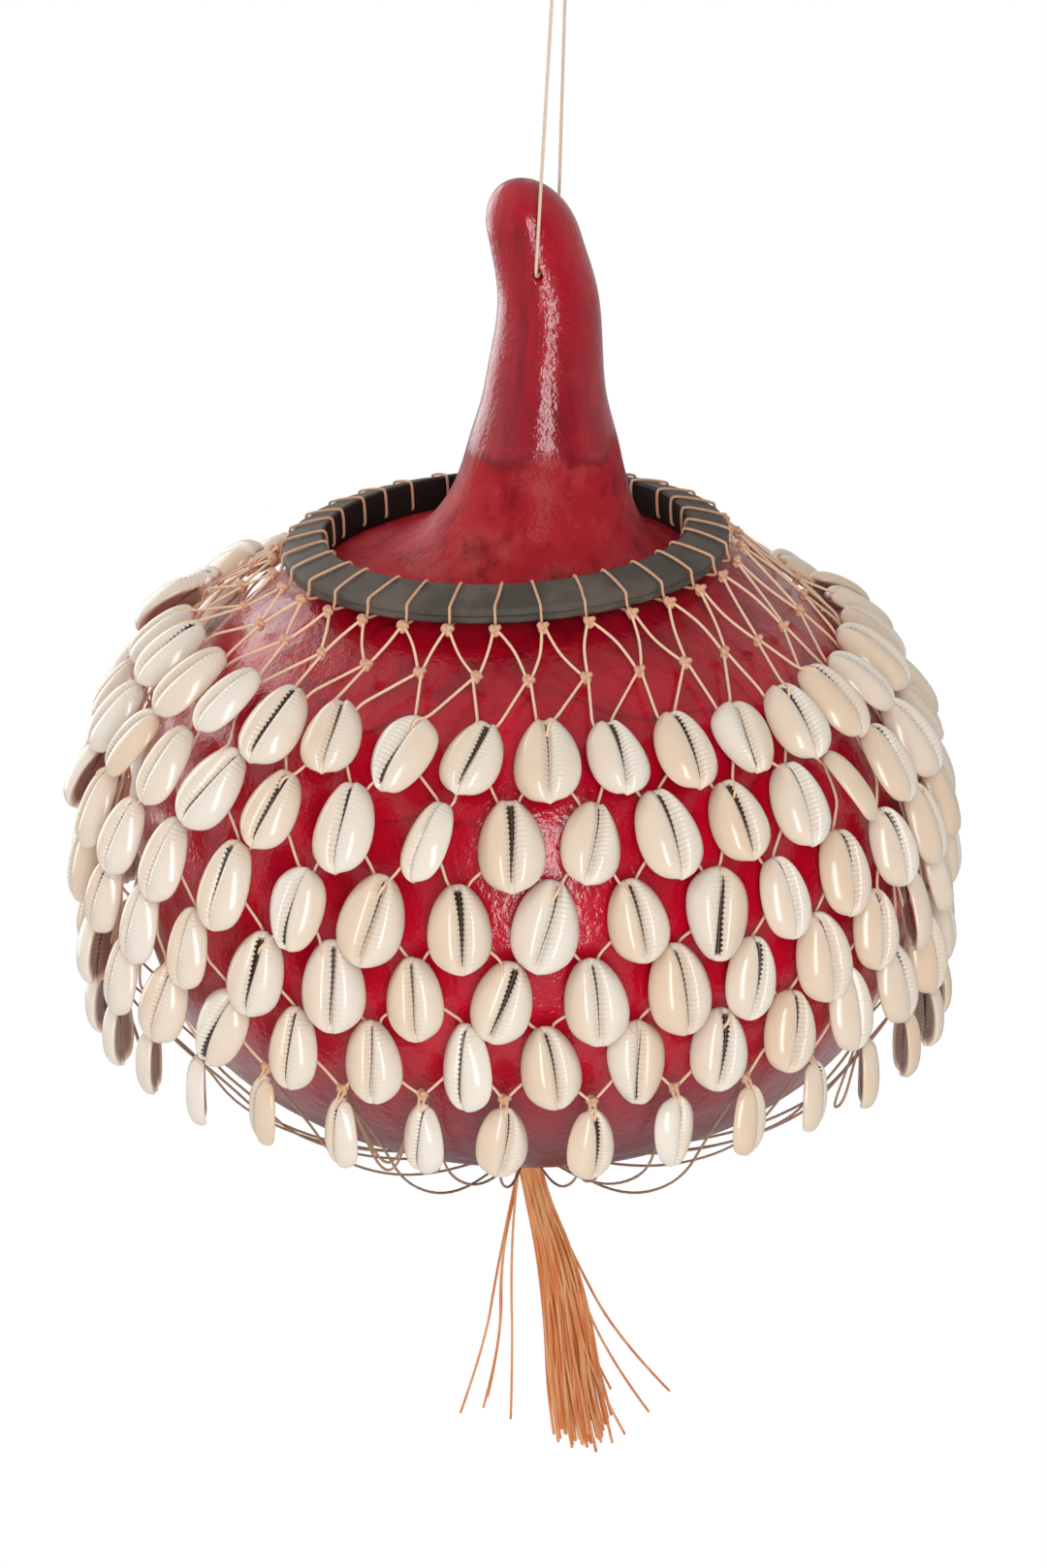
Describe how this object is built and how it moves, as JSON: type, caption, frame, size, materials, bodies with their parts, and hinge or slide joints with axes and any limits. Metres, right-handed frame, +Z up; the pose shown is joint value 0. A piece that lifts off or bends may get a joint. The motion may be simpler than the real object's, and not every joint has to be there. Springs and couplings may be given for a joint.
{
  "type": "shekere",
  "caption": "Hanging shekere: a dyed hollow gourd with a tapering neck, a rubber collar, a knotted cord net of cowrie shells round its body and a cord tassel below",
  "frame": {"origin": "inner top of the hanging loop, where the cord goes over its peg", "axes": "+Z up along the gourd's upright axis, -Y the side the picture is taken from, +X to the right in the picture"},
  "size_m": [0.2277, 0.2248, 0.4179],
  "materials": {
    "dyed_gourd": "crimson dye under glossy varnish, mottled",
    "collar_rubber": "matte charcoal",
    "net_cord": "twisted tan cord",
    "tassel_cord": "orange tan cord, cut ends",
    "hanging_thread": "thin pale line",
    "cowrie": "glossy ivory"
  },
  "bodies": {
    "hanging_cord": {"hanging_cord": "hanging_thread", "hanging_knot": "hanging_thread"},
    "gourd": {"gourd_shell": "dyed_gourd"},
    "collar": {"collar_ring": "collar_rubber", "ring_lashings": "net_cord", "ring_knots": "net_cord"},
    "net": {"upper_mesh_cords": "net_cord", "mid_knots": "net_cord", "shoulder_cords": "net_cord", "mesh_cords_1": "net_cord", "mesh_cords_2": "net_cord", "mesh_cords_3": "net_cord", "mesh_cords_4": "net_cord", "hem_cords": "net_cord", "hem_knots": "net_cord", "shell_row_1": "cowrie", "shell_row_2": "cowrie", "shell_row_3": "cowrie", "shell_row_4": "cowrie", "shell_row_5": "cowrie", "closing_cords": "net_cord"},
    "tassel_head": {"gathering_knot": "tassel_cord"},
    "tassel": {"tassel_strands": "tassel_cord", "stray_strands": "tassel_cord"},
    "hem_shell_01": {"hem_shell_01": "cowrie"},
    "hem_shell_02": {"hem_shell_02": "cowrie"},
    "hem_shell_03": {"hem_shell_03": "cowrie"},
    "hem_shell_04": {"hem_shell_04": "cowrie"},
    "hem_shell_05": {"hem_shell_05": "cowrie"},
    "hem_shell_06": {"hem_shell_06": "cowrie"},
    "hem_shell_07": {"hem_shell_07": "cowrie"},
    "hem_shell_08": {"hem_shell_08": "cowrie"},
    "hem_shell_09": {"hem_shell_09": "cowrie"},
    "hem_shell_10": {"hem_shell_10": "cowrie"},
    "hem_shell_11": {"hem_shell_11": "cowrie"},
    "hem_shell_12": {"hem_shell_12": "cowrie"},
    "hem_shell_13": {"hem_shell_13": "cowrie"},
    "hem_shell_14": {"hem_shell_14": "cowrie"},
    "hem_shell_15": {"hem_shell_15": "cowrie"},
    "hem_shell_16": {"hem_shell_16": "cowrie"},
    "hem_shell_17": {"hem_shell_17": "cowrie"},
    "hem_shell_18": {"hem_shell_18": "cowrie"},
    "hem_shell_19": {"hem_shell_19": "cowrie"},
    "hem_shell_20": {"hem_shell_20": "cowrie"},
    "hem_shell_21": {"hem_shell_21": "cowrie"},
    "hem_shell_22": {"hem_shell_22": "cowrie"},
    "hem_shell_23": {"hem_shell_23": "cowrie"},
    "hem_shell_24": {"hem_shell_24": "cowrie"},
    "hem_shell_25": {"hem_shell_25": "cowrie"},
    "hem_shell_26": {"hem_shell_26": "cowrie"},
    "hem_shell_27": {"hem_shell_27": "cowrie"},
    "hem_shell_28": {"hem_shell_28": "cowrie"},
    "hem_shell_29": {"hem_shell_29": "cowrie"},
    "hem_shell_30": {"hem_shell_30": "cowrie"},
    "hem_shell_31": {"hem_shell_31": "cowrie"},
    "hem_shell_32": {"hem_shell_32": "cowrie"}
  },
  "joints": [
    {"name": "gourd_swing", "type": "hinge", "parent": "hanging_cord", "child": "gourd", "pos_m": [-0.004, 0, -0.0955], "axis": [0.1843, 0.9829, 0], "range_deg": [-45, 45]},
    {"name": "net_turn", "type": "hinge", "parent": "gourd", "child": "collar", "pos_m": [-0.0084, 0, -0.246], "axis": [0, 0, 1], "continuous": true},
    {"name": "net_lift", "type": "slide", "parent": "collar", "child": "net", "axis": [0, 0, 1], "range_m": [0, 0.003], "deforming": ["upper_mesh_cords"]},
    {"name": "tassel_swing_front", "type": "hinge", "parent": "net", "child": "tassel_head", "pos_m": [-0.0084, 0, -0.331], "axis": [1, 0, 0], "range_deg": [-28, 28]},
    {"name": "tassel_swing_side", "type": "hinge", "parent": "tassel_head", "child": "tassel", "pos_m": [-0.0084, 0, -0.331], "axis": [0, 1, 0], "range_deg": [-28, 28]},
    {"name": "hem_shell_01_swing", "type": "hinge", "parent": "net", "child": "hem_shell_01", "pos_m": [-0.01396, -0.10233, -0.27119], "axis": [-0.9985, 0.0543, 0], "range_deg": [-3, 40]},
    {"name": "hem_shell_02_swing", "type": "hinge", "parent": "net", "child": "hem_shell_02", "pos_m": [0.00669, -0.10086, -0.27229], "axis": [-0.989, -0.1479, 0], "range_deg": [-3, 40]},
    {"name": "hem_shell_03_swing", "type": "hinge", "parent": "net", "child": "hem_shell_03", "pos_m": [0.02616, -0.09554, -0.2711], "axis": [-0.9404, -0.3401, 0], "range_deg": [-3, 40]},
    {"name": "hem_shell_04_swing", "type": "hinge", "parent": "net", "child": "hem_shell_04", "pos_m": [0.04353, -0.08702, -0.27224], "axis": [-0.8587, -0.5125, 0], "range_deg": [-3, 40]},
    {"name": "hem_shell_05_swing", "type": "hinge", "parent": "net", "child": "hem_shell_05", "pos_m": [0.05904, -0.07541, -0.27127], "axis": [-0.7454, -0.6666, 0], "range_deg": [-3, 40]},
    {"name": "hem_shell_06_swing", "type": "hinge", "parent": "net", "child": "hem_shell_06", "pos_m": [0.07257, -0.06051, -0.27197], "axis": [-0.5986, -0.801, 0], "range_deg": [-3, 40]},
    {"name": "hem_shell_07_swing", "type": "hinge", "parent": "net", "child": "hem_shell_07", "pos_m": [0.08305, -0.04296, -0.27162], "axis": [-0.4252, -0.9051, 0], "range_deg": [-3, 40]},
    {"name": "hem_shell_08_swing", "type": "hinge", "parent": "net", "child": "hem_shell_08", "pos_m": [0.08966, -0.0243, -0.27158], "axis": [-0.2405, -0.9706, 0], "range_deg": [-3, 40]},
    {"name": "hem_shell_09_swing", "type": "hinge", "parent": "net", "child": "hem_shell_09", "pos_m": [0.09248, -0.00533, -0.272], "axis": [-0.0528, -0.9986, 0], "range_deg": [-3, 40]},
    {"name": "hem_shell_10_swing", "type": "hinge", "parent": "net", "child": "hem_shell_10", "pos_m": [0.09163, 0.01416, -0.27125], "axis": [0.1401, -0.9901, 0], "range_deg": [-3, 40]},
    {"name": "hem_shell_11_swing", "type": "hinge", "parent": "net", "child": "hem_shell_11", "pos_m": [0.08678, 0.03387, -0.27226], "axis": [0.3352, -0.9421, 0], "range_deg": [-3, 40]},
    {"name": "hem_shell_12_swing", "type": "hinge", "parent": "net", "child": "hem_shell_12", "pos_m": [0.07809, 0.05225, -0.2711], "axis": [0.5171, -0.8559, 0], "range_deg": [-3, 40]},
    {"name": "hem_shell_13_swing", "type": "hinge", "parent": "net", "child": "hem_shell_13", "pos_m": [0.06645, 0.06799, -0.27228], "axis": [0.6724, -0.7402, 0], "range_deg": [-3, 40]},
    {"name": "hem_shell_14_swing", "type": "hinge", "parent": "net", "child": "hem_shell_14", "pos_m": [0.05233, 0.08099, -0.2712], "axis": [0.8, -0.5999, 0], "range_deg": [-3, 40]},
    {"name": "hem_shell_15_swing", "type": "hinge", "parent": "net", "child": "hem_shell_15", "pos_m": [0.03552, 0.09145, -0.27206], "axis": [0.9014, -0.4329, 0], "range_deg": [-3, 40]},
    {"name": "hem_shell_16_swing", "type": "hinge", "parent": "net", "child": "hem_shell_16", "pos_m": [0.01632, 0.09873, -0.27151], "axis": [0.9701, -0.2429, 0], "range_deg": [-3, 40]},
    {"name": "hem_shell_17_swing", "type": "hinge", "parent": "net", "child": "hem_shell_17", "pos_m": [-0.00376, 0.10212, -0.27169], "axis": [0.999, -0.0454, 0], "range_deg": [-3, 40]},
    {"name": "hem_shell_18_swing", "type": "hinge", "parent": "net", "child": "hem_shell_18", "pos_m": [-0.02341, 0.10165, -0.2719], "axis": [0.9893, 0.1461, 0], "range_deg": [-3, 40]},
    {"name": "hem_shell_19_swing", "type": "hinge", "parent": "net", "child": "hem_shell_19", "pos_m": [-0.0426, 0.09753, -0.27133], "axis": [0.9437, 0.3309, 0], "range_deg": [-3, 40]},
    {"name": "hem_shell_20_swing", "type": "hinge", "parent": "net", "child": "hem_shell_20", "pos_m": [-0.06146, 0.08947, -0.2722], "axis": [0.8601, 0.5101, 0], "range_deg": [-3, 40]},
    {"name": "hem_shell_21_swing", "type": "hinge", "parent": "net", "child": "hem_shell_21", "pos_m": [-0.07885, 0.07745, -0.27112], "axis": [0.7398, 0.6729, 0], "range_deg": [-3, 40]},
    {"name": "hem_shell_22_swing", "type": "hinge", "parent": "net", "child": "hem_shell_22", "pos_m": [-0.09318, 0.06246, -0.2723], "axis": [0.5931, 0.8051, 0], "range_deg": [-3, 40]},
    {"name": "hem_shell_23_swing", "type": "hinge", "parent": "net", "child": "hem_shell_23", "pos_m": [-0.1039, 0.04547, -0.27115], "axis": [0.4299, 0.9029, 0], "range_deg": [-3, 40]},
    {"name": "hem_shell_24_swing", "type": "hinge", "parent": "net", "child": "hem_shell_24", "pos_m": [-0.11115, 0.02648, -0.27214], "axis": [0.2495, 0.9684, 0], "range_deg": [-3, 40]},
    {"name": "hem_shell_25_swing", "type": "hinge", "parent": "net", "child": "hem_shell_25", "pos_m": [-0.11452, 0.00553, -0.27141], "axis": [0.052, 0.9986, 0], "range_deg": [-3, 40]},
    {"name": "hem_shell_26_swing", "type": "hinge", "parent": "net", "child": "hem_shell_26", "pos_m": [-0.11342, -0.0159, -0.2718], "axis": [-0.1497, 0.9887, 0], "range_deg": [-3, 40]},
    {"name": "hem_shell_27_swing", "type": "hinge", "parent": "net", "child": "hem_shell_27", "pos_m": [-0.1081, -0.03591, -0.2718], "axis": [-0.3389, 0.9408, 0], "range_deg": [-3, 40]},
    {"name": "hem_shell_28_swing", "type": "hinge", "parent": "net", "child": "hem_shell_28", "pos_m": [-0.09918, -0.05388, -0.27142], "axis": [-0.5104, 0.8599, 0], "range_deg": [-3, 40]},
    {"name": "hem_shell_29_swing", "type": "hinge", "parent": "net", "child": "hem_shell_29", "pos_m": [-0.08667, -0.07002, -0.27214], "axis": [-0.6667, 0.7453, 0], "range_deg": [-3, 40]},
    {"name": "hem_shell_30_swing", "type": "hinge", "parent": "net", "child": "hem_shell_30", "pos_m": [-0.07067, -0.08376, -0.27115], "axis": [-0.8026, 0.5966, 0], "range_deg": [-3, 40]},
    {"name": "hem_shell_31_swing", "type": "hinge", "parent": "net", "child": "hem_shell_31", "pos_m": [-0.05239, -0.09389, -0.2723], "axis": [-0.9055, 0.4243, 0], "range_deg": [-3, 40]},
    {"name": "hem_shell_32_swing", "type": "hinge", "parent": "net", "child": "hem_shell_32", "pos_m": [-0.03339, -0.09998, -0.27112], "axis": [-0.9702, 0.2425, 0], "range_deg": [-3, 40]}
  ]
}
